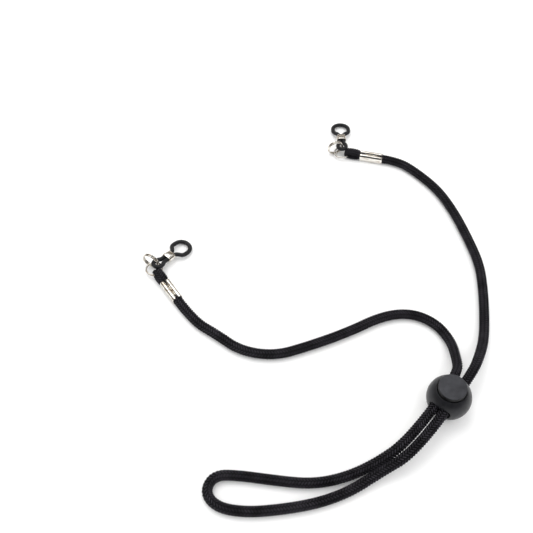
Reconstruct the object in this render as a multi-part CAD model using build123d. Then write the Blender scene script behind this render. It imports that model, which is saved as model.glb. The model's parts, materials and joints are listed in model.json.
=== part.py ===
from build123d import *
import math
import os

# Eyeglass retainer strap, in millimetres. It lies on the floor, z = 0, with +Z up.
# The origin is on the floor below the middle of the strap's hardware.

# ---- Neck cord ----
CORD_D = 4.4
# Centreline: along the floor from the left crimp, up and through the cord lock, round the
# hand loop, back through the lock beside the first strand, and down to the right crimp.
CORD_ROUTE = [
    (-53.2, -27.3, 2.2), (-45.2, -38.8, 2.2), (-35.0, -45.5, 2.2), (-24.4, -53.8, 2.2),
    (-9.6, -56.4, 2.2), (5.0, -51.7, 2.2), (22.2, -44.8, 2.2), (39.0, -35.9, 2.2),
    (51.8, -34.4, 2.2), (62.1, -39.8, 2.2), (67.6, -49.2, 2.4), (67.8, -58.6, 5.5),
    (66.9, -68.7, 9.4), (42.9, -99.3, 9.4), (29.6, -106.0, 3.4), (17.0, -111.2, 2.2),
    (4.2, -113.6, 2.2), (-10.8, -111.9, 2.2), (-23.4, -110.1, 2.2), (-33.4, -109.8, 2.2),
    (-37.0, -116.6, 2.2), (-32.0, -122.8, 2.2), (-20.6, -124.7, 2.2), (-6.6, -123.5, 2.2),
    (7.4, -121.0, 2.2), (20.0, -116.2, 2.2), (31.4, -110.6, 3.4), (45.7, -103.3, 9.4),
    (72.4, -69.0, 9.4), (77.6, -58.8, 7.2), (81.8, -48.6, 3.0), (84.2, -36.2, 2.2),
    (86.0, -20.8, 2.2), (86.5, -6.8, 2.2), (83.1, 9.4, 2.2), (78.9, 25.0, 2.2),
    (72.8, 39.6, 2.2), (63.2, 51.4, 2.2), (55.2, 58.7, 2.2), (46.9, 60.6, 2.2),
]
ARC_SHARE = 0.45  # how much of the shorter run beside a corner its arc takes up

# ---- Cord lock (ball toggle with a sprung button) ----
BALL_R = 9.2
BALL_CENTRE_Z = 8.7
LOCK_POS = (61.4, -79.4, 0.0)
LOCK_AZIMUTH = 52.0  # heading of the two strands through the lock
STRAND_Z = 9.4
SLOT_WIDTH = 9.3
SLOT_HEIGHT = 4.9
SLOT_LENGTH = 24.0
MOUTH_CORNER = 2.2
WELL_R = 6.0
WELL_FLOOR_Z = 2.6
POCKET_R = 3.7  # the spring's pocket in the floor of the well
POCKET_FLOOR_Z = 1.3
BUTTON_R = 5.8
BUTTON_TOP_Z = 17.6
BUTTON_BAR_Z = 5.2  # underside of the bar below the button's window
WINDOW_Z = (7.0, 14.4)
BUTTON_EDGE = 0.4
SPRING_SEAT_R = 4.2
SPRING_SEAT_DEPTH = 0.6
SPRING_WIRE = 0.6
SPRING_R = 3.1
SPRING_TURNS = 4.0

# ---- Crimp and folded cord end, along +X from the crimp's mouth ----
CRIMP_LENGTH = 11.5
CRIMP_WIDTH = 4.9
CRIMP_SHEET = 0.4
CRIMP_BASE_Z = 0.05
LOBE_R = 1.32
LOBE_Z = 2.95
EYE_CENTRE = (15.0, 0.0, 2.45)
EYE_HALF = (4.6, 2.9, 2.4)
RING_PIVOT = (17.45, 0.0, 2.3)
EYE_HOLE_R = 0.55
EYE_HOLE_MOUTH_R = 1.7
EYE_HOLE_HALF = 2.9

# ---- Rings ----
JUMP_WIRE = 0.8
JUMP_R = 3.75
JUMP_TILT = 3.0
SPLIT_WIRE = 0.8
SPLIT_R = 3.75
SPLIT_GAP = 0.84  # between the centres of the two coils
SPLIT_CENTRE_Z = 4.2
SPLIT_HEADING = 30.0
HOOK_AT = (21.6, -2.4, 3.9)  # where the temple loop hooks the split ring

# ---- Temple loop (rubber) and its slider ----
RUBBER_D = 2.0
STEM_HALF = 1.05
HOOK_EYE_R = 2.05
TEMPLE_EYE_HALF = 4.1
STEM_HEADING = -78.0
LOOP_SLOPE = 8.0
LOOP_LENGTH = 20.0
SLIDER_LENGTH = 4.0
SLIDER_AT = 7.0
SLIDER_WIDTH = 5.0
SLIDER_HEIGHT = 3.0
SLIDER_BORE_WIDTH = 4.2
SLIDER_BORE_HEIGHT = 2.12

# Both ends carry the same hardware: the cord's end, and the point of its route before that.
ENDS = {
    "left": (CORD_ROUTE[0], CORD_ROUTE[1]),
    "right": (CORD_ROUTE[-1], CORD_ROUTE[-2]),
}


def corner_radii(points):
    radii = []
    for before, corner, after in zip(points, points[1:], points[2:]):
        back = Vector(*before) - Vector(*corner)
        ahead = Vector(*after) - Vector(*corner)
        turn = 180.0 - back.get_angle(ahead)
        share = ARC_SHARE * min(back.length, ahead.length)
        radii.append(share / math.tan(math.radians(turn) / 2))
    return radii


def neck_cord():
    radii = corner_radii(CORD_ROUTE)
    print("cord radii", [round(radius, 1) for radius in radii])
    path = FilletPolyline(*CORD_ROUTE, radius=radii)
    tube = sweep(Plane(path @ 0, z_dir=path % 0) * Circle(CORD_D / 2), path=path)
    expected = math.pi * CORD_D**2 / 4 * path.length
    print("cord length", round(path.length, 1), "volume ratio", round(tube.volume / expected, 4))
    return tube


# ---- Cord lock pieces, built with the strands along X and moved into place ----
def lock_place():
    return Pos(*LOCK_POS) * Rot(0, 0, LOCK_AZIMUTH)


def strand_slot(width, low, high, length):
    outline = RectangleRounded(width, high - low, MOUTH_CORNER)
    return extrude(Plane.YZ.offset(-length / 2) * Pos(0, (low + high) / 2) * outline, length)


def toggle_body():
    ball = Pos(0, 0, BALL_CENTRE_Z) * Sphere(BALL_R)
    below = Pos(0, 0, -BALL_R) * Box(4 * BALL_R, 4 * BALL_R, 2 * BALL_R)
    well_height = 2 * BALL_R
    well = Pos(0, 0, WELL_FLOOR_Z + well_height / 2) * Cylinder(WELL_R, well_height)
    pocket = Pos(0, 0, POCKET_FLOOR_Z + well_height / 2) * Cylinder(POCKET_R, well_height)
    low = STRAND_Z - SLOT_HEIGHT / 2
    slot = strand_slot(SLOT_WIDTH, low, low + SLOT_HEIGHT, SLOT_LENGTH)
    return lock_place() * (ball - below - well - pocket - slot)


def toggle_button():
    height = BUTTON_TOP_Z - BUTTON_BAR_Z
    stem = Pos(0, 0, BUTTON_BAR_Z + height / 2) * Cylinder(BUTTON_R, height)
    stem = fillet(stem.edges().sort_by(Axis.Z)[-1], BUTTON_EDGE)
    window = strand_slot(SLOT_WIDTH, *WINDOW_Z, SLOT_LENGTH)
    seat = Pos(0, 0, BUTTON_BAR_Z + SPRING_SEAT_DEPTH / 2) * Cylinder(SPRING_SEAT_R, SPRING_SEAT_DEPTH)
    return lock_place() * (stem - window - seat)


def toggle_spring():
    rise = BUTTON_BAR_Z + SPRING_SEAT_DEPTH - POCKET_FLOOR_Z - SPRING_WIRE
    coil = Helix(rise / SPRING_TURNS, rise, SPRING_R)
    wire = sweep(Plane(coil @ 0, z_dir=coil % 0) * Circle(SPRING_WIRE / 2), path=coil, is_frenet=True)
    return lock_place() * Pos(0, 0, POCKET_FLOOR_Z + SPRING_WIRE / 2) * wire


# ---- End hardware, built along +X from the crimp's mouth ----
def crimp_outline(shrink):
    """The folded-over sheet's outline: a round trough with two lobes curled in on top."""
    half = CRIMP_WIDTH / 2 - shrink
    base = CRIMP_BASE_Z + shrink
    trough = Pos(0, (base + LOBE_Z) / 2) * RectangleRounded(2 * half, LOBE_Z - base, (LOBE_Z - base) * 0.42)
    lobes = [Pos(side * (CRIMP_WIDTH / 2 - LOBE_R), LOBE_Z) * Circle(LOBE_R - shrink) for side in (-1, 1)]
    bridge = Pos(0, (base + LOBE_Z) / 2 + 0.5) * Rectangle(half, LOBE_Z - base)
    return trough + lobes + bridge


def crimp_prism(shrink, length):
    return extrude(Plane.YZ * crimp_outline(shrink), length)


def crimp():
    return crimp_prism(0, CRIMP_LENGTH) - crimp_prism(CRIMP_SHEET, CRIMP_LENGTH)


def cord_eye():
    pinched = crimp_prism(CRIMP_SHEET, EYE_CENTRE[0])
    unit = Sphere(1)
    fold = Pos(*EYE_CENTRE) * scale(unit, by=EYE_HALF)
    fold = split(fold, bisect_by=Plane.YZ.offset(CRIMP_LENGTH), keep=Keep.TOP)
    hole = Polyline(
        (0, 0), (EYE_HOLE_R, 0), (EYE_HOLE_MOUTH_R, EYE_HOLE_HALF), (0, EYE_HOLE_HALF), close=True
    )
    cone = revolve(make_face(hole), Axis.Y)
    both = cone + mirror(cone, Plane.XZ)
    return pinched + fold - Pos(*RING_PIVOT) * both


def jump_ring():
    torus = Torus(JUMP_R, JUMP_WIRE / 2)
    return Pos(*RING_PIVOT) * Rot(0, JUMP_TILT, 0) * Pos(JUMP_R, 0, 0) * torus


def split_ring():
    coil_circle = Pos(SPLIT_R, SPLIT_GAP / 2) * Circle(SPLIT_WIRE / 2)
    waist = Pos(SPLIT_R, 0) * Rectangle(SPLIT_WIRE * 0.7, SPLIT_GAP)
    section = coil_circle + mirror(coil_circle, Plane.XZ) + waist
    ring = revolve(section, Axis.Y)
    heading = math.radians(SPLIT_HEADING)
    centre_x = HOOK_AT[0] + SPLIT_R * math.cos(heading)
    centre_y = HOOK_AT[1] + SPLIT_R * math.sin(heading)
    return Pos(centre_x, centre_y, SPLIT_CENTRE_Z) * Rot(0, 0, SPLIT_HEADING) * ring


def loop_place():
    return Pos(*HOOK_AT) * Rot(0, 0, STEM_HEADING) * Rot(0, LOOP_SLOPE, 0)


def temple_loop():
    end = LOOP_LENGTH - RUBBER_D / 2
    half_route = [
        (-HOOK_EYE_R, 0), (-HOOK_EYE_R, HOOK_EYE_R), (1.2, HOOK_EYE_R), (3.0, STEM_HALF),
        (10.2, STEM_HALF), (12.4, TEMPLE_EYE_HALF), (end, TEMPLE_EYE_HALF), (end, 0),
    ]
    half_radii = [2.0, 1.9, 2.0, 2.4, 2.4, 4.0]
    half = FilletPolyline(*half_route, radius=half_radii)
    tube = sweep(Plane(half @ 0, z_dir=half % 0) * Circle(RUBBER_D / 2), path=half)
    return loop_place() * (tube + mirror(tube, Plane.XZ))


def loop_slider():
    outline = SlotOverall(SLIDER_WIDTH, SLIDER_HEIGHT) - SlotOverall(SLIDER_BORE_WIDTH, SLIDER_BORE_HEIGHT)
    tube = extrude(Plane.YZ.offset(SLIDER_AT - SLIDER_LENGTH / 2) * outline, SLIDER_LENGTH)
    return loop_place() * tube


END_PIECES = {
    "crimp": crimp,
    "cord_eye": cord_eye,
    "jump_ring": jump_ring,
    "split_ring": split_ring,
    "temple_loop": temple_loop,
    "loop_slider": loop_slider,
}


def end_place(mouth, before):
    heading = math.degrees(math.atan2(mouth[1] - before[1], mouth[0] - before[0]))
    return Pos(mouth[0], mouth[1], 0) * Rot(0, 0, heading)


def all_nodes():
    nodes = {
        "neck_cord": neck_cord(),
        "toggle_body": toggle_body(),
        "toggle_button": toggle_button(),
        "toggle_spring": toggle_spring(),
    }
    for side, (mouth, before) in ENDS.items():
        place = end_place(mouth, before)
        for name, build in END_PIECES.items():
            nodes[f"{side}_{name}"] = place * build()
    return nodes


os.makedirs("parts", exist_ok=True)
NODES = all_nodes()
for node, shape in NODES.items():
    export_step(shape, f"parts/{node}.step")
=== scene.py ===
"""Eyeglass retainer strap: a braided neck cord with a sprung ball lock, folded crimps,
linked rings and rubber temple loops, lying on a pale floor."""

import json
import math

import bmesh
import bpy
from mathutils import Matrix, Vector

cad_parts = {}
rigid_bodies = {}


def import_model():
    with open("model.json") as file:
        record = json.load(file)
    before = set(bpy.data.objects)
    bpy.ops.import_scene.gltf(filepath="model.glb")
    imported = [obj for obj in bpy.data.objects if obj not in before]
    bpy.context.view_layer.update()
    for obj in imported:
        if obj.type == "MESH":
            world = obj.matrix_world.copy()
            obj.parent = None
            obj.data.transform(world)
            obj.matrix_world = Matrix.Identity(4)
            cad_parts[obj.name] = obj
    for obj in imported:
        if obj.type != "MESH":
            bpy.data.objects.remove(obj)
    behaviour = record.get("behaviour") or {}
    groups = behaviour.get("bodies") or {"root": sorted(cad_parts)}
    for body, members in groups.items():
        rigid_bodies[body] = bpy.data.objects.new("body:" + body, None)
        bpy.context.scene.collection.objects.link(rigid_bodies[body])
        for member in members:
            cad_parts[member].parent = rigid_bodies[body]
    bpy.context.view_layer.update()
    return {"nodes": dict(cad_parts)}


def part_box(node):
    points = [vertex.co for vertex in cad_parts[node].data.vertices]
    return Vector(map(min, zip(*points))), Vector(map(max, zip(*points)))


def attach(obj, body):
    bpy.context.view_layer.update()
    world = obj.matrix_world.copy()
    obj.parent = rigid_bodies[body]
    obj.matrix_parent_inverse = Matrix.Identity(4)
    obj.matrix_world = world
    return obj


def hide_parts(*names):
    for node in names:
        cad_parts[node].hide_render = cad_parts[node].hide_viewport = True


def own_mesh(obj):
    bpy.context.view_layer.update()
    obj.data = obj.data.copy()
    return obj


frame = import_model()
MM = 0.001

# ---- Camera: above the near side of the strap, pitched down ----
CAMERA_AT = (-0.0130, -0.2288, 0.3020)
CAMERA_PITCH_DOWN = 53.7
SENSOR_MM = 36.0
LENS_MM = 53.83

# ---- Neck cord ----
CORD_D = 0.0044
# The centreline's control points: from the left crimp through the lock, round the hand loop
# and back through the lock to the right crimp.
CORD_ROUTE = [
    (-0.0532, -0.0273, 0.0022), (-0.0452, -0.0388, 0.0022), (-0.0350, -0.0455, 0.0022),
    (-0.0244, -0.0538, 0.0022), (-0.0096, -0.0564, 0.0022), (0.0050, -0.0517, 0.0022),
    (0.0222, -0.0448, 0.0022), (0.0390, -0.0359, 0.0022), (0.0518, -0.0344, 0.0022),
    (0.0621, -0.0398, 0.0022), (0.0676, -0.0492, 0.0024), (0.0678, -0.0586, 0.0055),
    (0.0669, -0.0687, 0.0094), (0.0426, -0.0990, 0.0094), (0.0296, -0.1060, 0.0034),
    (0.0170, -0.1112, 0.0022), (0.0042, -0.1136, 0.0022), (-0.0108, -0.1119, 0.0022),
    (-0.0234, -0.1101, 0.0022), (-0.0334, -0.1098, 0.0022), (-0.0370, -0.1166, 0.0022),
    (-0.0320, -0.1228, 0.0022), (-0.0206, -0.1247, 0.0022), (-0.0066, -0.1235, 0.0022),
    (0.0074, -0.1210, 0.0022), (0.0200, -0.1162, 0.0022), (0.0313, -0.1093, 0.0034),
    (0.0453, -0.1030, 0.0094), (0.0724, -0.0690, 0.0094), (0.0776, -0.0588, 0.0072),
    (0.0818, -0.0486, 0.0030), (0.0842, -0.0362, 0.0022), (0.0860, -0.0208, 0.0022),
    (0.0865, -0.0068, 0.0022), (0.0831, 0.0094, 0.0022), (0.0789, 0.0250, 0.0022),
    (0.0728, 0.0396, 0.0022), (0.0632, 0.0514, 0.0022), (0.0552, 0.0587, 0.0022),
    (0.0469, 0.0606, 0.0022),
]
RELAXED_WIDTH = 1.07  # the slack arms spread this much sideways, beside the pulled hand loop
SLACK_ARM = 0.155  # how far along the cord each slack arm reaches from its crimp
SQUEEZE = 0.020  # the length over which the cord narrows towards the lock
TUCK = 0.0022  # how far each end of the cord goes on inside its crimp
TUCK_SIZE = 0.86
TUCK_STEEPNESS = 1.6
ROUTE_RESOLUTION = 24
BRAID_LAY = 0.0098  # one turn of a strand, which gives ribs 1.22 mm apart
CARRIERS = 16

# ---- End hardware, in millimetres along +X from the crimp's mouth ----
CRIMP_LENGTH = 11.5
CRIMP_BASE_Z = 0.05
CRIMP_CORNER_R = 1.1
SHEET = 0.4
LOBE_Y = 1.225
LOBE_Z = 3.0
LOBE_MID_R = 1.0
LOBE_SWEEP = 232
EDGE_RIM = 0.16  # how far a sheet's rounded edge reaches in from its end
# The folded cord end's control points: out of the crimp along the top, round and back below.
FOLD_ROUTE = [
    (9.2, 0, 3.05), (11.6, 0, 3.15), (13.4, 0, 3.62), (16.2, 0, 3.82), (18.9, 0, 3.75),
    (19.15, 0, 2.45),
    (18.9, 0, 1.15), (16.2, 0, 1.08), (13.4, 0, 1.24), (11.6, 0, 1.72), (9.2, 0, 1.8),
]
RING_PIVOT = (17.45, 0.0, 2.3)
WIRE_R = 0.4
WIRE_SIDES = 16
JUMP_R = 3.75
JUMP_TILT = 3.0
JUMP_JOINT = 0.05
JUMP_JOINT_AT = 40
SPLIT_R = 3.75
SPLIT_GAP = 0.84
SPLIT_CENTRE_Z = 4.2
SPLIT_HEADING = 30.0
SPLIT_END_GAP = 0.06
SPLIT_STARTS_AT = 250
SPLIT_STEP_HALF = 26  # half the angle over which the wire steps from one coil to the other
HOOK_AT = (21.6, -2.4, 3.9)
STEM_HEADING = -78.0
LOOP_SLOPE = 8.0
SLIDER_LENGTH = 4.0
SLIDER_AT = 7.0
SLIDER_OUTER = (5.0, 3.0)
SLIDER_BORE = (4.2, 2.12)

# ---- Cord lock: the ball's remeshing and its spring ----
BALL_VOXEL = 0.00021
BALL_SMOOTHING = 9
SPRING_WIRE = 0.6
SPRING_TURNS = 4.0
SPRING_CLOSING = 0.35  # how much slower the coil climbs at its two ends than in its middle

# ---- Colours: (place in the material's own noise, linear colour) ----
# The cord's ramp also carries painted shade at strand edges and on under strands, and painted
# highlight on over strands.
CORD_TONES = [
    (0.50, (0.0003, 0.0003, 0.0005)),
    (0.63, (0.0042, 0.0040, 0.0052)),
    (0.77, (0.042, 0.039, 0.048)),
]
CORD_SHEEN = (0.82, 0.78, 0.9, 1.0)
# The nickel's streak colours are painted reflection: warm tan streaks and bright highlight streaks.
NICKEL = (0.74, 0.715, 0.665)
NICKEL_HIGHLIGHT = (0.90, 0.88, 0.83)
NICKEL_TAN_REFLECTION = (0.55, 0.46, 0.38)  # the share of each channel that is left in a warm streak
RUBBER_TONES = [(0.3, (0.006, 0.006, 0.007)), (0.7, (0.015, 0.015, 0.018))]
STEEL_TONES = [(0.3, (0.45, 0.45, 0.47)), (0.7, (0.66, 0.66, 0.67))]
FLOOR_TONES = [(0.2, (0.95, 0.95, 0.948)), (0.8, (0.97, 0.97, 0.967))]

# ---- Light ----
FLOOR_HALF = 3.0
LIGHT_AIM = (0.02, -0.03, 0)
SKY = (0.98, 0.98, 0.98, 1.0)
SKY_STRENGTH = 1.08
# What glossy surfaces mirror instead of the plain sky, from the horizon to straight up.
MIRRORED_BANDS = [
    (0.0, (0.10, 0.08, 0.06)),
    (0.22, (0.20, 0.155, 0.12)),
    (0.34, (0.80, 0.77, 0.72)),
    (0.46, (0.16, 0.135, 0.11)),
    (0.58, (0.26, 0.24, 0.22)),
    (0.72, (1.0, 1.0, 0.99)),
    (0.95, (0.50, 0.50, 0.52)),
]
# The bands are dimmer towards -Y.
BAND_DIMMING = {"From Min": -0.6, "From Max": 0.5, "To Min": 0.12, "To Max": 1.0}

ENDS = {
    "left": (CORD_ROUTE[0], CORD_ROUTE[1]),
    "right": (CORD_ROUTE[-1], CORD_ROUTE[-2]),
}


# ---- Camera ----
def make_camera():
    data = bpy.data.cameras.new("camera")
    data.sensor_width = SENSOR_MM
    data.lens = LENS_MM
    data.clip_start = 0.01
    camera = bpy.data.objects.new("camera", data)
    camera.location = CAMERA_AT
    camera.rotation_euler = (math.radians(90 - CAMERA_PITCH_DOWN), 0, 0)
    bpy.context.scene.collection.objects.link(camera)
    bpy.context.scene.camera = camera


# ---- Mesh helpers ----
def link_mesh(name, verts, faces, material, smooth=True):
    mesh = bpy.data.meshes.new(name)
    mesh.from_pydata([tuple(v) for v in verts], [], faces)
    work = bmesh.new()
    work.from_mesh(mesh)
    bmesh.ops.recalc_face_normals(work, faces=work.faces)
    work.to_mesh(mesh)
    work.free()
    mesh.materials.append(material)
    if smooth:
        mesh.shade_smooth()
    else:
        mesh.shade_flat()
    obj = bpy.data.objects.new(name, mesh)
    bpy.context.scene.collection.objects.link(obj)
    return obj


def nurbs_line(points):
    """The points of the smooth NURBS line that has these control points."""
    curve = bpy.data.curves.new("route", "CURVE")
    curve.dimensions = "3D"
    curve.resolution_u = ROUTE_RESOLUTION
    spline = curve.splines.new("NURBS")
    spline.points.add(len(points) - 1)
    for point, place in zip(spline.points, points):
        point.co = (*place, 1.0)
    spline.order_u = 3
    spline.use_endpoint_u = True
    obj = bpy.data.objects.new("route", curve)
    bpy.context.scene.collection.objects.link(obj)
    mesh = bpy.data.meshes.new_from_object(obj)
    line = [v.co.copy() for v in mesh.vertices]
    bpy.data.objects.remove(obj)
    bpy.data.meshes.remove(mesh)
    bpy.data.curves.remove(curve)
    return line


def lengths(line):
    total = [0.0]
    for a, b in zip(line, line[1:]):
        total.append(total[-1] + (b - a).length)
    return total


def resample(line, count):
    """count + 1 points evenly spaced along a line."""
    along = lengths(line)
    out = []
    k = 0
    for i in range(count + 1):
        at = along[-1] * i / count
        while k < len(line) - 2 and along[k + 1] < at:
            k += 1
        share = (at - along[k]) / (along[k + 1] - along[k])
        out.append(line[k].lerp(line[k + 1], min(1.0, share)))
    return out


def frames_along(line, side):
    """(tangent, side, up) at each point, carried along without twist from a first side."""
    out = []
    last = len(line) - 1
    for i in range(last + 1):
        tangent = (line[min(i + 1, last)] - line[max(i - 1, 0)]).normalized()
        side = (side - tangent * side.dot(tangent)).normalized()
        out.append((tangent, side, tangent.cross(side)))
    return out


def band(a, b, count):
    """The faces between two closed rows of count verts, which start at a and at b."""
    return [(a + j, a + (j + 1) % count, b + (j + 1) % count, b + j) for j in range(count)]


def tube(line, side, section):
    """Verts and faces of a section, a list of (side, up) points, swept along a line."""
    verts = []
    faces = []
    n = len(section)
    for point, (_, across, up) in zip(line, frames_along(line, side)):
        verts.extend(point + across * y + up * z for y, z in section)
    rows = len(line)
    for i in range(rows - 1):
        faces.extend(band(i * n, (i + 1) * n, n))
    faces.append(tuple(range(n)))
    faces.append(tuple(range((rows - 1) * n, rows * n)))
    return verts, faces


def circle(radius, count):
    turn = 2 * math.pi / count
    return [(radius * math.cos(turn * i), radius * math.sin(turn * i)) for i in range(count)]


# ---- Braid ----
# A strand's section: (share of its half width, drop below its crown as a share of the radius).
STRAND = [(-1.0, 0.27), (-0.6, 0.09), (0.0, 0.0), (0.6, 0.09), (1.0, 0.27)]
UNDER_DROP = 0.22  # how far a strand dives to pass under, as a share of the radius
CORE_SHARE = 0.70  # the core's radius, as a share of the cord's
CORE_SIDES = 12
CORE_EVERY = 4  # the core has a row of verts at every fourth row of a strand
WIDTH_SHARE = 0.93  # how much of the room beside its neighbours a strand fills


def braid(name, line, side, lay, size_at, material):
    """Two over, two under round braid on a line. size_at(along) gives its two half widths."""
    total = lengths(line)[-1]
    count = round(total / lay * CARRIERS)
    step = total / count
    points = resample(line, count)
    frames = frames_along(points, side)
    verts = []
    faces = []
    yarn = []
    width = len(STRAND)

    def place(i, angle, shrink):
        _, across, up = frames[i]
        a, b = size_at(step * i)
        sideways = across * (a * shrink * math.cos(angle))
        return points[i] + sideways + up * (b * shrink * math.sin(angle))

    for strand in range(CARRIERS):
        sense = 1 if strand % 2 else -1
        first = len(verts)
        for i in range(count + 1):
            column = (sense * i + 2 * (strand // 2)) % CARRIERS
            over = (column % 4 in (0, 1)) == (sense > 0)
            angle = 2 * math.pi * column / CARRIERS
            a, b = size_at(step * i)
            mean = (a + b) / 2
            slope = math.atan2(2 * math.pi * mean, step * CARRIERS)
            half = step * math.sin(slope) * WIDTH_SHARE
            tangent, across, up = frames[i]
            for share, drop in STRAND:
                shift = share * half
                swing = -sense * shift * math.cos(slope) / mean
                crown = 1.0 - drop - (0.0 if over else UNDER_DROP)
                verts.append(place(i, angle + swing, crown) + tangent * (shift * math.sin(slope)))
                yarn.append((step * i / MM / math.cos(slope), share, 1.0 if over else 0.0))
        for i in range(count):
            a = first + i * width
            faces.extend(band(a, a + width, width))
        faces.append(tuple(first + j for j in range(width)))
        faces.append(tuple(first + count * width + j for j in range(width)))

    first = len(verts)
    rows = range(0, count + 1, CORE_EVERY)
    for i in rows:
        for j in range(CORE_SIDES):
            verts.append(place(i, 2 * math.pi * j / CORE_SIDES, CORE_SHARE))
            yarn.append((0.0, 1.0, 0.0))
    for row in range(len(rows) - 1):
        a = first + row * CORE_SIDES
        faces.extend(band(a, a + CORE_SIDES, CORE_SIDES))
    faces.append(tuple(first + j for j in range(CORE_SIDES)))
    faces.append(tuple(len(verts) - CORE_SIDES + j for j in range(CORE_SIDES)))

    obj = link_mesh(name, verts, faces, material)
    layer = obj.data.attributes.new("yarn", "FLOAT_VECTOR", "POINT")
    layer.data.foreach_set("vector", [value for row in yarn for value in row])
    return obj


# ---- Materials ----
class Nodes:
    """A short way to wire up a node material round one Principled shader."""

    def __init__(self, name, **sockets):
        self.material = bpy.data.materials.new(name)
        self.material.use_nodes = True
        self.tree = self.material.node_tree
        self.shader = self.tree.nodes["Principled BSDF"]
        for key, value in sockets.items():
            self.shader.inputs[key.replace("_", " ")].default_value = value

    def add(self, kind, inputs=None, **settings):
        node = self.tree.nodes.new(kind)
        for key, value in settings.items():
            setattr(node, key, value)
        for key, value in (inputs or {}).items():
            socket = node.inputs[key]
            if isinstance(value, bpy.types.NodeSocket):
                self.tree.links.new(value, socket)
            else:
                socket.default_value = value
        return node

    def objects(self, scale=(1.0, 1.0, 1.0)):
        where = self.add("ShaderNodeTexCoord").outputs["Object"]
        return self.add("ShaderNodeMapping", {"Vector": where, "Scale": scale}).outputs["Vector"]

    def noise(self, vector, scale, detail=3.0):
        inputs = {"Vector": vector, "Scale": scale, "Detail": detail, "Roughness": 0.55}
        return self.add("ShaderNodeTexNoise", inputs).outputs["Fac"]

    def ramp(self, value, stops):
        node = self.add("ShaderNodeValToRGB", {"Fac": value})
        elements = node.color_ramp.elements
        for i, (at, colour) in enumerate(stops):
            element = elements[i] if i < 2 else elements.new(at)
            element.position = at
            element.color = (*colour, 1.0)
        return node.outputs["Color"]

    def spread(self, value, low, high, start=0.0, end=1.0):
        inputs = {"Value": value, "From Min": start, "From Max": end, "To Min": low, "To Max": high}
        return self.add("ShaderNodeMapRange", inputs).outputs["Result"]

    def maths(self, kind, a, b):
        return self.add("ShaderNodeMath", {0: a, 1: b}, operation=kind).outputs["Value"]

    def bump(self, height, strength, distance, normal=None):
        inputs = {"Height": height, "Strength": strength, "Distance": distance}
        if normal is not None:
            inputs["Normal"] = normal
        return self.add("ShaderNodeBump", inputs).outputs["Normal"]

    def into(self, socket, value):
        self.tree.links.new(value, self.shader.inputs[socket])


def cord_material():
    """The braid reads its yarn attribute: length along a strand, place across it, and crown. The
    crown paints highlight on over strands and shade on under ones.
    """
    edge_falloff = 2.5
    edge_shade_drop = 0.34
    crown_highlight = 0.24
    filaments_across = 22.0
    m = Nodes("braided_polyester", Sheen_Weight=0.01, Sheen_Roughness=0.5, Specular_IOR_Level=0.14)
    m.shader.inputs["Sheen Tint"].default_value = CORD_SHEEN
    yarn = m.add("ShaderNodeAttribute", attribute_name="yarn").outputs["Vector"]
    parts = m.add("ShaderNodeSeparateXYZ", {"Vector": yarn})
    stretch = {"Vector": yarn, "Scale": (0.7, 5.0, 3.7)}
    fibre = m.noise(m.add("ShaderNodeMapping", stretch).outputs["Vector"], scale=1.6, detail=4.0)
    patch = m.noise(m.objects(), scale=160.0, detail=2.0)
    both = m.maths("ADD", m.maths("MULTIPLY", fibre, 0.7), m.maths("MULTIPLY", patch, 0.3))
    # Painted shade: each strand's colour darkens towards its edges, where the creases between strands
    # lie.
    edge = m.maths("POWER", m.maths("ABSOLUTE", parts.outputs["Y"], 0.0), edge_falloff)
    edge_shaded = m.maths("SUBTRACT", both, m.maths("MULTIPLY", edge, edge_shade_drop))
    # Painted highlight and shade: strands that pass over are lighter than strands that pass under.
    lit = m.maths("ADD", edge_shaded, m.maths("MULTIPLY", parts.outputs["Z"], crown_highlight))
    m.into("Base Color", m.ramp(lit, CORD_TONES))
    m.into("Roughness", m.spread(fibre, low=0.5, high=0.8, start=0.3, end=0.7))
    filaments = m.maths("SINE", m.maths("MULTIPLY", parts.outputs["Y"], filaments_across), 0.0)
    ridges = m.bump(filaments, strength=0.35, distance=0.00004)
    m.into("Normal", m.bump(fibre, strength=0.5, distance=0.00012, normal=ridges))
    return m.material


def plastic_material(name, dark, light, rough, grain, side=None):
    """With a side colour, upright walls take it as painted shade and only faces that look up keep the
    cloud.
    """
    m = Nodes(name, Specular_IOR_Level=0.3)
    where = m.objects()
    cloud = m.noise(where, scale=260.0, detail=4.0)
    tones = [(0.25, dark), (0.75, light)]
    if side:
        # Painted shade: upright walls darken to the side colour, while tops keep their own tone.
        normal = m.add("ShaderNodeTexCoord").outputs["Normal"]
        height = m.add("ShaderNodeSeparateXYZ", {"Vector": normal}).outputs["Z"]
        unshaded_tops = m.spread(height, low=0.0, high=1.0, start=0.3, end=0.8)
        cloud = m.maths("MULTIPLY", cloud, unshaded_tops)
        tones = [(0.0, side), *tones]
    m.into("Base Color", m.ramp(cloud, tones))
    wear = m.noise(where, scale=900.0)
    m.into("Roughness", m.spread(wear, low=rough - 0.07, high=rough + 0.08, start=0.3, end=0.7))
    fine = m.bump(m.noise(where, scale=5200.0, detail=2.0), strength=grain, distance=0.00003)
    coarse = m.noise(where, scale=1500.0)
    m.into("Normal", m.bump(coarse, strength=grain, distance=0.00006, normal=fine))
    return m.material


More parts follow.
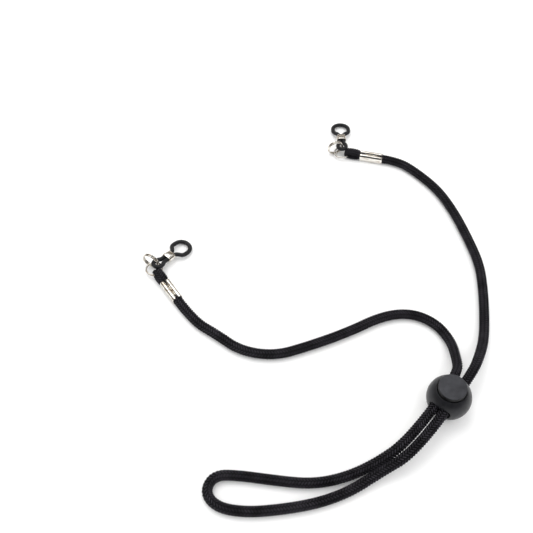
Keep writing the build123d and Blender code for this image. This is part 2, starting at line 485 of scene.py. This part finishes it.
def nickel_material(name, stretch, tone, rough):
    m = Nodes(name, Metallic=1.0)
    where = m.objects()
    # Painted reflection: stretched streaks put tan reflections and bright highlights into the
    # nickel's colour; the same streaks shape its bump.
    reflection_streak = m.noise(m.objects(stretch), scale=1.0, detail=4.0)
    stains = m.noise(where, scale=700.0)
    tan_reflection = tuple(channel * share for channel, share in zip(tone, NICKEL_TAN_REFLECTION))
    m.into("Base Color", m.ramp(reflection_streak, [(0.34, tan_reflection), (0.50, tone), (0.68, NICKEL_HIGHLIGHT)]))
    m.into("Roughness", m.spread(stains, low=rough * 0.7, high=rough * 1.5, start=0.3, end=0.7))
    pits = m.bump(stains, strength=0.2, distance=0.00003)
    m.into("Normal", m.bump(reflection_streak, strength=0.25, distance=0.00005, normal=pits))
    return m.material


def rubber_material():
    m = Nodes("black_rubber_cord", Specular_IOR_Level=0.3, Coat_Weight=0.02)
    where = m.objects()
    m.into("Base Color", m.ramp(m.noise(where, scale=400.0), RUBBER_TONES))
    wear = m.noise(where, scale=1200.0)
    m.into("Roughness", m.spread(wear, low=0.36, high=0.52, start=0.3, end=0.7))
    m.into("Normal", m.bump(m.noise(where, scale=2600.0), strength=0.35, distance=0.00005))
    return m.material


def steel_material():
    m = Nodes("drawn_steel_wire", Metallic=1.0)
    where = m.objects()
    m.into("Base Color", m.ramp(m.noise(where, scale=900.0), STEEL_TONES))
    wear = m.noise(where, scale=2000.0)
    m.into("Roughness", m.spread(wear, low=0.22, high=0.42, start=0.3, end=0.7))
    m.into("Normal", m.bump(m.noise(where, scale=4000.0), strength=0.2, distance=0.00003))
    return m.material


def floor_material():
    m = Nodes("white_paper", Specular_IOR_Level=0.2)
    where = m.objects()
    m.into("Base Color", m.ramp(m.noise(where, scale=30.0), FLOOR_TONES))
    m.into("Roughness", m.spread(m.noise(where, scale=200.0), low=0.75, high=0.85))
    return m.material


# ---- Stage and light ----
def make_stage():
    half = FLOOR_HALF
    corners = [(-half, -half, 0), (half, -half, 0), (half, half, 0), (-half, half, 0)]
    link_mesh("floor", corners, [(0, 1, 2, 3)], floor_material(), smooth=False)


def area_light(name, at, aim, size, power, colour):
    data = bpy.data.lights.new(name, "AREA")
    data.shape = "DISK"
    data.size = size
    data.energy = power
    data.color = colour
    light = bpy.data.objects.new(name, data)
    light.location = at
    light.rotation_euler = (Vector(aim) - Vector(at)).to_track_quat("-Z", "Y").to_euler()
    bpy.context.scene.collection.objects.link(light)


def make_light():
    area_light(
        "key", at=(-0.24, 0.40, 1.05), aim=LIGHT_AIM, size=0.85, power=4.2, colour=(1.0, 0.99, 0.975)
    )
    area_light(
        "fill", at=(0.5, -0.5, 1.0), aim=LIGHT_AIM, size=0.9, power=2.0, colour=(0.97, 0.98, 1.0)
    )
    world = bpy.data.worlds.new("studio")
    bpy.context.scene.world = world
    world.use_nodes = True
    tree = world.node_tree
    background = tree.nodes["Background"]
    where = tree.nodes.new("ShaderNodeTexCoord")
    split = tree.nodes.new("ShaderNodeSeparateXYZ")
    tree.links.new(where.outputs["Generated"], split.inputs["Vector"])
    ramp = tree.nodes.new("ShaderNodeValToRGB")
    elements = ramp.color_ramp.elements
    for i, (at, colour) in enumerate(MIRRORED_BANDS):
        element = elements[i] if i < 2 else elements.new(at)
        element.position = at
        element.color = (*colour, 1.0)
    tree.links.new(split.outputs["Z"], ramp.inputs["Fac"])
    mix = tree.nodes.new("ShaderNodeMix")
    mix.data_type = "RGBA"
    path = tree.nodes.new("ShaderNodeLightPath")
    tree.links.new(path.outputs["Is Glossy Ray"], mix.inputs["Factor"])
    shade = tree.nodes.new("ShaderNodeMapRange")
    for key, value in BAND_DIMMING.items():
        shade.inputs[key].default_value = value
    tree.links.new(split.outputs["Y"], shade.inputs["Value"])
    dimmed = tree.nodes.new("ShaderNodeVectorMath")
    dimmed.operation = "SCALE"
    tree.links.new(ramp.outputs["Color"], dimmed.inputs[0])
    tree.links.new(shade.outputs["Result"], dimmed.inputs["Scale"])
    tree.links.new(dimmed.outputs["Vector"], mix.inputs["B"])
    mix.inputs["A"].default_value = SKY
    tree.links.new(mix.outputs["Result"], background.inputs["Color"])
    background.inputs["Strength"].default_value = SKY_STRENGTH
    bpy.context.scene.view_settings.view_transform = "Standard"


# ---- Neck cord ----
def make_cord(material):
    line = nurbs_line(CORD_ROUTE)
    line.insert(0, line[0] + (line[0] - line[1]).normalized() * TUCK)
    line.append(line[-1] + (line[-1] - line[-2]).normalized() * TUCK)
    total = lengths(line)[-1]

    def size_at(along):
        inside = max(0.0, 1.0 - min(along, total - along) / TUCK)
        half = CORD_D / 2 * (1.0 - (1.0 - TUCK_SIZE) * min(1.0, inside * TUCK_STEEPNESS))
        slack = max(0.0, min(1.0, (SLACK_ARM - min(along, total - along)) / SQUEEZE))
        return half, half * (1.0 + (RELAXED_WIDTH - 1.0) * slack)

    cord = braid("neck_cord_braid", line, Vector((0, 0, 1)), BRAID_LAY, size_at, material)
    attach(cord, "strap")
    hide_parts("neck_cord")


# ---- End hardware ----
def end_matrix(mouth, before):
    heading = math.atan2(mouth[1] - before[1], mouth[0] - before[0])
    place = Matrix.Translation((mouth[0], mouth[1], 0)) @ Matrix.Rotation(heading, 4, "Z")
    return place @ Matrix.Scale(MM, 4)


def settle(obj, place):
    """Bakes a place, in millimetres, into the mesh."""
    obj.data.transform(place)
    return obj


def crimp_midline():
    """(y, z) of the sheet's middle from the centre of its base up one side and over its lobe."""
    corner_steps = 8
    lobe_steps = 20
    base = CRIMP_BASE_Z + SHEET / 2
    half = LOBE_Y + LOBE_MID_R
    corner = CRIMP_CORNER_R
    out = [(0.0, base), (half - corner, base)]
    for i in range(1, corner_steps):
        a = math.radians(-90 + 90 * i / corner_steps)
        out.append((half - corner + corner * math.cos(a), base + corner + corner * math.sin(a)))
    out.append((half, base + corner))
    for i in range(lobe_steps + 1):
        a = math.radians(LOBE_SWEEP * i / lobe_steps)
        out.append((LOBE_Y + LOBE_MID_R * math.cos(a), LOBE_Z + LOBE_MID_R * math.sin(a)))
    return out


def crimp_outline(thickness, spread):
    """Closed outline of the whole folded sheet as two rows, outer and inner."""
    half = crimp_midline()
    middle = [(-y, z) for y, z in reversed(half[1:])] + half
    outer = []
    inner = []
    last = len(middle) - 1
    for i, (y, z) in enumerate(middle):
        a = middle[max(0, i - 1)]
        b = middle[min(last, i + 1)]
        along = Vector((b[0] - a[0], b[1] - a[1])).normalized()
        normal = Vector((along.y, -along.x))
        reach = thickness / 2
        outer.append(((y + normal.x * reach) * spread, z + normal.y * reach))
        inner.append(((y - normal.x * reach) * spread, z - normal.y * reach))
    return outer, inner


def make_crimp(side, place, material):
    """The folded sheet, with both ends rounded and flared a little."""
    flare_length = 0.9
    flare_share = 0.025
    # (place along the crimp, share of the sheet's thickness) from one end to the middle
    stations = [(0.0, 0.45), (0.05, 0.8), (EDGE_RIM, 1.0), (flare_length, 1.0), (2.2, 1.0)]
    stations += [(CRIMP_LENGTH / 2, 1.0)]
    stations += [(CRIMP_LENGTH - x, share) for x, share in reversed(stations[:-1])]
    verts = []
    faces = []
    for x, share in stations:
        from_end = min(x, CRIMP_LENGTH - x)
        flare = 1.0 + flare_share * max(0.0, 1.0 - from_end / flare_length)
        outer, inner = crimp_outline(SHEET * share, flare)
        ring = outer + inner[::-1]
        verts.extend(Vector((x, y, z)) for y, z in ring)
    n = len(ring)
    for i in range(len(stations) - 1):
        faces.extend(band(i * n, (i + 1) * n, n))
    for row in (0, (len(stations) - 1) * n):
        for j in range(n // 2 - 1):
            faces.append((row + j, row + j + 1, row + n - 2 - j, row + n - 1 - j))
    crimp = settle(link_mesh(f"{side}_crimp_sheet", verts, faces, material), place)
    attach(crimp, "strap")
    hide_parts(f"{side}_crimp")


def make_cord_eye(side, place, material):
    """The cord's own end, flattened and folded back round the jump ring."""
    line = [place @ point for point in nurbs_line([Vector(p) for p in FOLD_ROUTE])]
    total = lengths(line)[-1]

    def size_at(along):
        """Half widths: way is 0 at the fold's tip and 1 at the two ends inside the crimp."""
        way = abs(along / total - 0.5) * 2
        tip = max(0.0, 1.0 - way / 0.42)
        root = min(1.0, max(0.0, (way - 0.66) / 0.34) * 1.9)
        half = 2.55 - 0.55 * tip**1.3 - 0.70 * root
        thick = 1.12 - 0.3 * tip - 0.35 * root
        return half * MM, thick * MM

    across = (place.to_3x3() @ Vector((0, 1, 0))).normalized()
    eye = braid(f"{side}_cord_fold", line, across, BRAID_LAY * 0.95, size_at, material)
    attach(eye, "strap")
    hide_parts(f"{side}_cord_eye")


def make_jump_ring(side, place, material):
    rows = 72
    joint = JUMP_JOINT / JUMP_R
    start = math.radians(JUMP_JOINT_AT) + joint / 2
    line = []
    for i in range(rows + 1):
        a = start + (2 * math.pi - joint) * i / rows
        line.append(Vector((JUMP_R * math.cos(a), JUMP_R * math.sin(a), 0)))
    verts, faces = tube(line, Vector((0, 0, 1)), circle(WIRE_R, WIRE_SIDES))
    here = Matrix.Translation(RING_PIVOT) @ Matrix.Rotation(math.radians(JUMP_TILT), 4, "Y")
    here = here @ Matrix.Translation((JUMP_R, 0, 0))
    ring = settle(link_mesh(f"{side}_jump_ring_wire", verts, faces, material), place @ here)
    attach(ring, f"{side}_ring_one")
    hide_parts(f"{side}_jump_ring")


def make_split_ring(side, place, material):
    """One wire wound almost twice round, stepping across from one coil to the other."""
    rows = 144
    gap = SPLIT_END_GAP
    start = math.radians(SPLIT_STARTS_AT)
    line = []
    for i in range(rows + 1):
        a = gap / SPLIT_R + (4 * math.pi - 2 * gap / SPLIT_R) * i / rows
        step = (a - 2 * math.pi) / math.radians(SPLIT_STEP_HALF)
        shift = SPLIT_GAP / 2 * max(-1.0, min(1.0, step)) * (1.5 - 0.5 * min(1.0, abs(step)) ** 2)
        shift = max(-SPLIT_GAP / 2, min(SPLIT_GAP / 2, shift))
        line.append(Vector((SPLIT_R * math.cos(a + start), SPLIT_R * math.sin(a + start), shift)))
    verts, faces = tube(line, Vector((0, 0, 1)), circle(WIRE_R, WIRE_SIDES))
    heading = math.radians(SPLIT_HEADING)
    centre_x = HOOK_AT[0] + SPLIT_R * math.cos(heading)
    centre_y = HOOK_AT[1] + SPLIT_R * math.sin(heading)
    here = Matrix.Translation((centre_x, centre_y, SPLIT_CENTRE_Z)) @ Matrix.Rotation(heading, 4, "Z")
    here = here @ Matrix.Rotation(math.pi / 2, 4, "X")
    ring = settle(link_mesh(f"{side}_split_ring_coil", verts, faces, material), place @ here)
    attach(ring, f"{side}_ring_two")
    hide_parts(f"{side}_split_ring")


def stadium(width, height, count):
    """count points round a slot shape, with its round ends left and right."""
    radius = height / 2
    straight = (width - height) / 2
    out = []
    for i in range(count):
        a = 2 * math.pi * (i + 0.5) / count
        shift = straight if math.cos(a) > 0 else -straight
        out.append((shift + radius * math.cos(a), radius * math.sin(a)))
    return out


def make_slider(side, place, material):
    """An oval sleeve: its wall's section, with rounded ends, swept from the outside to the bore."""
    count = 40
    outer = stadium(*SLIDER_OUTER, count)
    inner = stadium(*SLIDER_BORE, count)
    # (inset from the end, share of the wall's thickness from the outside in)
    rounded = [(EDGE_RIM, 0.0), (0.04, 0.15), (0.0, 0.5), (0.04, 0.85), (EDGE_RIM, 1.0)]
    path = [(EDGE_RIM, 0.0)]
    path += [(SLIDER_LENGTH - inset, share) for inset, share in rounded]
    path += [(inset, share) for inset, share in reversed(rounded[1:])]
    verts = []
    faces = []
    for x, share in path:
        for (y0, z0), (y1, z1) in zip(outer, inner):
            verts.append(Vector((x, y0 + (y1 - y0) * share, z0 + (z1 - z0) * share)))
    rows = len(path)
    for i in range(rows):
        faces.extend(band(i * count, (i + 1) % rows * count, count))
    here = loop_matrix() @ Matrix.Translation((SLIDER_AT - SLIDER_LENGTH / 2, 0, 0))
    slider = settle(link_mesh(f"{side}_slider_tube", verts, faces, material), place @ here)
    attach(slider, f"{side}_slider")
    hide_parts(f"{side}_loop_slider")


def loop_matrix():
    turn = Matrix.Rotation(math.radians(STEM_HEADING), 4, "Z")
    return Matrix.Translation(HOOK_AT) @ turn @ Matrix.Rotation(math.radians(LOOP_SLOPE), 4, "Y")


def repaint(node, material):
    for slot in frame["nodes"][node].material_slots:
        slot.material = material


# ---- Cord lock ----
def make_spring(material):
    """The coil under the button, end turns wound close."""
    low, high = [Vector(corner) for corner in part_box("toggle_spring")]
    centre = (low + high) / 2
    wire = SPRING_WIRE / 2 * MM
    radius = (high.x - low.x) / 2 - wire
    rows = 160
    line = []
    for i in range(rows + 1):
        share = i / rows
        turn = 2 * math.pi * SPRING_TURNS * share
        rise = share - SPRING_CLOSING * math.sin(2 * math.pi * share) / (2 * math.pi)
        z = low.z + wire + (high.z - low.z - 2 * wire) * rise
        x = centre.x + radius * math.cos(turn)
        line.append(Vector((x, centre.y + radius * math.sin(turn), z)))
    verts, faces = tube(line, Vector((0, 0, 1)), circle(wire, 12))
    spring = link_mesh("lock_spring_coil", verts, faces, material)
    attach(spring, "cord_lock")
    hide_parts("toggle_spring")
    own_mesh(spring)


def make_lock(shell, cap, steel):
    """The ball as moulded: the CAD shape with its edges rounded over by remeshing."""
    mesh = frame["nodes"]["toggle_body"].data.copy()
    ball = bpy.data.objects.new("lock_ball", mesh)
    bpy.context.scene.collection.objects.link(ball)
    remesh = ball.modifiers.new("remesh", "REMESH")
    remesh.mode = "VOXEL"
    remesh.voxel_size = BALL_VOXEL
    remesh.use_smooth_shade = True
    smooth = ball.modifiers.new("smooth", "SMOOTH")
    smooth.factor = 0.5
    smooth.iterations = BALL_SMOOTHING
    evaluated = ball.evaluated_get(bpy.context.evaluated_depsgraph_get())
    shape = bpy.data.meshes.new_from_object(evaluated)
    ball.modifiers.clear()
    ball.data = shape
    shape.materials.clear()
    shape.materials.append(shell)
    shape.shade_smooth()
    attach(ball, "cord_lock")
    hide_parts("toggle_body")
    repaint("toggle_button", cap)
    make_spring(steel)


make_camera()
cord_black = cord_material()
make_cord(cord_black)
make_stage()
make_light()

nickel = nickel_material("bright_nickel", stretch=(120.0, 900.0, 900.0), tone=NICKEL, rough=0.13)
rubber = rubber_material()
for side, (mouth, before) in ENDS.items():
    place = end_matrix(mouth, before)
    make_crimp(side, place, nickel)
    make_cord_eye(side, place, cord_black)
    make_jump_ring(side, place, nickel)
    make_split_ring(side, place, nickel)
    make_slider(side, place, nickel)
    repaint(f"{side}_temple_loop", rubber)
make_lock(
    plastic_material(
        "moulded_lock",
        dark=(0.006, 0.0062, 0.0078),
        light=(0.014, 0.0145, 0.018),
        rough=0.36,
        grain=0.25,
    ),
    plastic_material(
        "moulded_button",
        dark=(0.020, 0.0205, 0.0245),
        light=(0.044, 0.045, 0.052),
        rough=0.52,
        grain=0.7,
        # Painted shade for the button's upright wall.
        side=(0.0015, 0.0015, 0.002),
    ),
    steel_material(),
)
